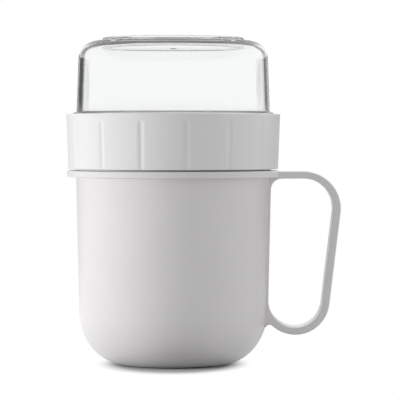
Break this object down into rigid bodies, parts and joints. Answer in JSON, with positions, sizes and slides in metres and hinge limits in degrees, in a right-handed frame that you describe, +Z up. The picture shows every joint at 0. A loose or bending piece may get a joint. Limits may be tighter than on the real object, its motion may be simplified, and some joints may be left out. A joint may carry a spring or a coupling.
{
  "type": "cereal to-go cup",
  "caption": "Light-grey mug with a loop handle, a fluted screw ring on its neck and a clear cereal dome plugged into the ring, for carrying yoghurt and cereal apart.",
  "frame": {"origin": "middle of the mug's flat base, on the axis of the mug, ring and dome", "axes": "+Z up along the axis of the mug, +X towards the handle, -Y the side that the picture shows"},
  "size_m": [0.1332, 0.104, 0.1587],
  "materials": {
    "mug_plastic": "satin moulded polypropylene, light warm grey",
    "ring_plastic": "satin moulded polypropylene, light neutral grey",
    "divider_plastic": "satin moulded polypropylene, light neutral grey",
    "silicone": "matt translucent-white silicone",
    "clear_plastic": "clear polished moulding"
  },
  "bodies": {
    "mug": {"mug_body": "mug_plastic"},
    "divider": {"divider_disc": "divider_plastic", "rim_seal": "silicone"},
    "ring": {"screw_ring": "ring_plastic"},
    "dome": {"cereal_dome": "clear_plastic", "dome_seal": "silicone"}
  },
  "joints": [
    {"name": "lid_rise", "type": "slide", "parent": "mug", "child": "divider", "axis": [0, 0, 1], "range_m": [0, 0.02]},
    {"name": "lid_turn", "type": "hinge", "parent": "divider", "child": "ring", "pos_m": [0, 0, 0.1], "axis": [0, 0, 1], "range_deg": [0, 600]},
    {"name": "dome_lift", "type": "slide", "parent": "ring", "child": "dome", "axis": [0, 0, 1], "range_m": [0, 0.05]}
  ],
  "couplings": [
    {"joint": "lid_rise", "follows": "lid_turn", "m_per_rad": 0.0019099}
  ]
}
